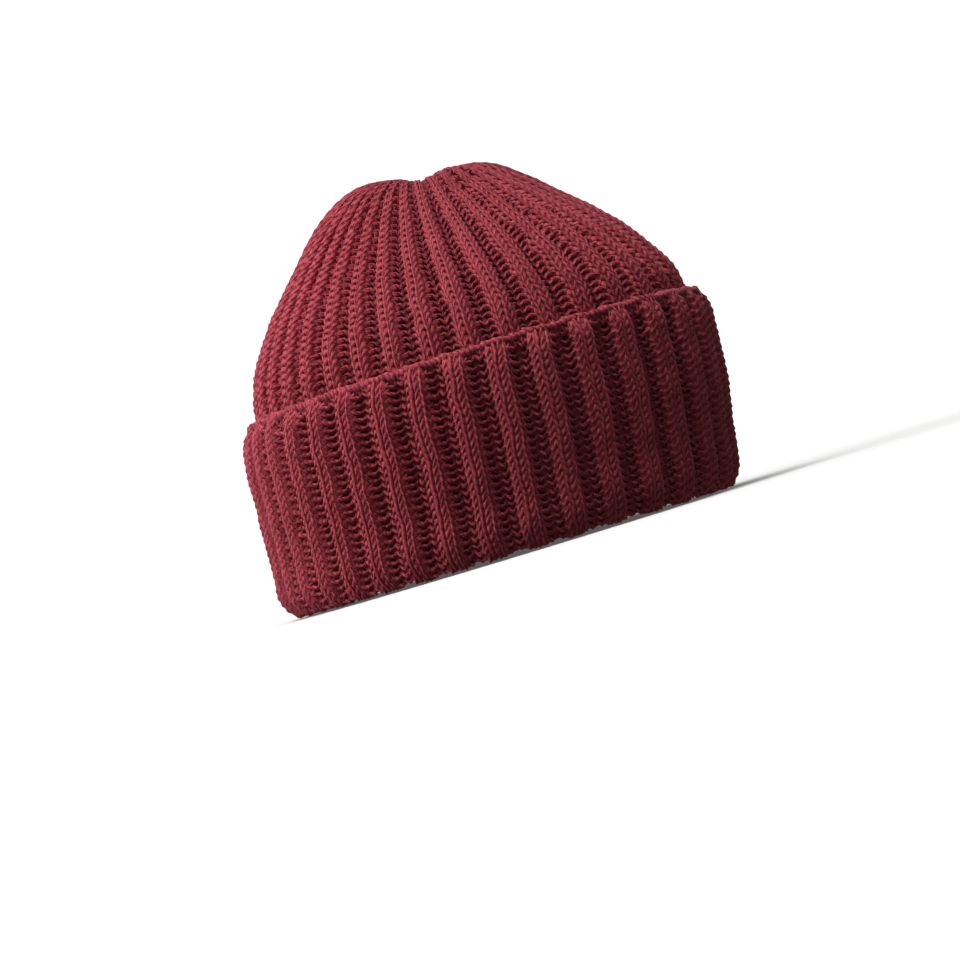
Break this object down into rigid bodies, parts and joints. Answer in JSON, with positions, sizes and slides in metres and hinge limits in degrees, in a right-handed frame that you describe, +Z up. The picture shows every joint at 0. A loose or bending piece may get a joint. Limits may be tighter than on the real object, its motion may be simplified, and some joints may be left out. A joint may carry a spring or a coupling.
{
  "type": "cuffed beanie",
  "caption": "Soft chunky rib-knit hat: a domed crown gathered shut at the top, with its lower edge turned up as a deep ribbed cuff, standing open side down.",
  "frame": {"origin": "middle of the hat's footprint, on the plane that its folded lower edge rests on", "axes": "+Z up through the gathered top, -Y the front over the wearer's forehead, +Y the back, +X the wearer's left side"},
  "size_m": [0.1876, 0.21, 0.1594],
  "materials": {
    "crown_knit": "matt, slightly fuzzy chunky burgundy yarn in two-by-two rib knit",
    "cuff_knit": "matt, slightly fuzzy chunky burgundy yarn in two-by-two rib knit, turned up with its other face out"
  },
  "bodies": {
    "root": {"crown": "crown_knit", "cuff": "cuff_knit"}
  },
  "joints": []
}
